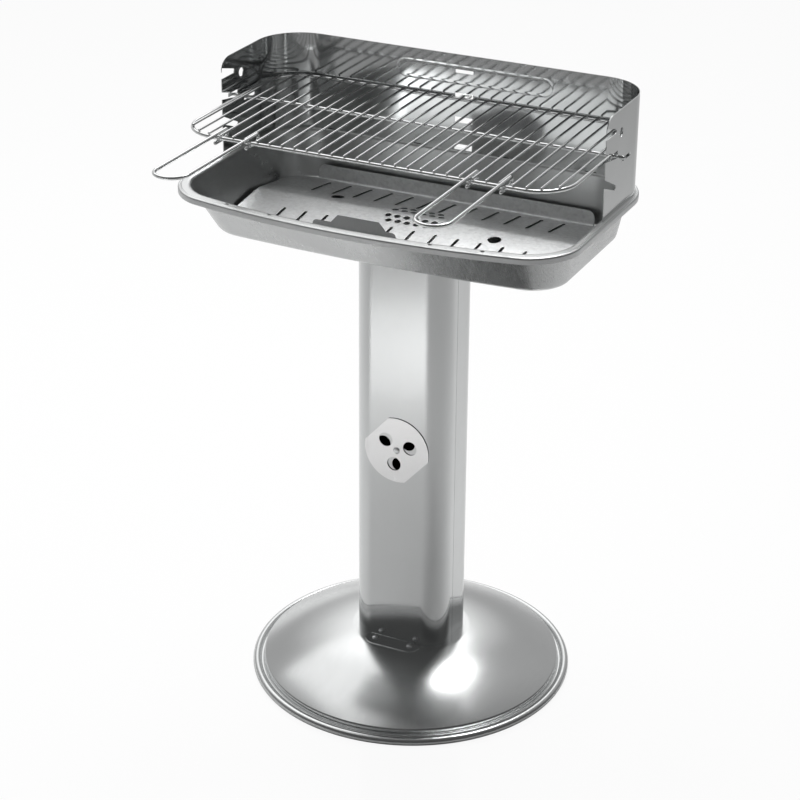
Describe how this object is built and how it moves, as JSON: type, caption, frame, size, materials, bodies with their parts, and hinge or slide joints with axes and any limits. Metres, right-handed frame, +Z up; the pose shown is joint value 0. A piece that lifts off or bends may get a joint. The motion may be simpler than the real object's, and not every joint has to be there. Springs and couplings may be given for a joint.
{
  "type": "charcoal grill",
  "caption": "Free-standing charcoal grill: round base, column with air damper, fire pan, coal tray, notched wind shield and a wire cooking grid with swing handles.",
  "frame": {"origin": "middle of the outline seen from above, on the floor", "axes": "+Z up, -Y towards the cook in front, +X to the cook's right"},
  "size_m": [0.5646, 0.5494, 0.858],
  "materials": {
    "satin_base": "satin polished stainless steel with faint turning marks",
    "polished_column": "bright polished stainless steel",
    "satin_sheet": "satin pressed stainless steel",
    "zinc_fasteners": "zinc plated",
    "damper_steel": "pale satin",
    "galvanised_tray": "galvanised sheet with spangle",
    "mirror_shield": "mirror polished sheet",
    "chrome_wire": "bright chrome plated wire"
  },
  "bodies": {
    "stand": {"base_dish": "satin_base", "column_front": "polished_column", "column_rear": "polished_column", "cap_plate": "satin_sheet", "foot_screws": "zinc_fasteners", "foot_nuts": "zinc_fasteners", "damper_washer": "zinc_fasteners", "damper_rivet": "zinc_fasteners", "fire_pan": "satin_sheet", "pan_screws": "zinc_fasteners", "pan_nuts": "zinc_fasteners", "wind_shield": "mirror_shield", "shield_screws": "zinc_fasteners", "shield_nuts": "zinc_fasteners"},
    "damper": {"damper_disc": "damper_steel"},
    "tray": {"coal_tray": "galvanised_tray"},
    "grid": {"grid_frame": "chrome_wire", "grid_bars": "chrome_wire", "grid_cross_wire": "chrome_wire", "grid_hook": "chrome_wire"},
    "left_handle": {"handle_left": "chrome_wire"},
    "right_handle": {"handle_right": "chrome_wire"}
  },
  "joints": [
    {"name": "damper_turn", "type": "hinge", "parent": "stand", "child": "damper", "pos_m": [0, -0.0018, 0.357], "axis": [0, -1, 0], "continuous": true},
    {"name": "tray_lift", "type": "slide", "parent": "stand", "child": "tray", "axis": [0, 0, 1], "range_m": [0, 0.08]},
    {"name": "grid_draw", "type": "slide", "parent": "stand", "child": "grid", "axis": [0, -0.9731, 0.2305], "range_m": [0, 0.06]},
    {"name": "left_handle_swing", "type": "hinge", "parent": "grid", "child": "left_handle", "pos_m": [-0.1827, -0.1033, 0.799], "axis": [-1, 0, 0], "range_deg": [0, 95]},
    {"name": "right_handle_swing", "type": "hinge", "parent": "grid", "child": "right_handle", "pos_m": [0.1653, -0.1033, 0.799], "axis": [-1, 0, 0], "range_deg": [0, 95]}
  ]
}
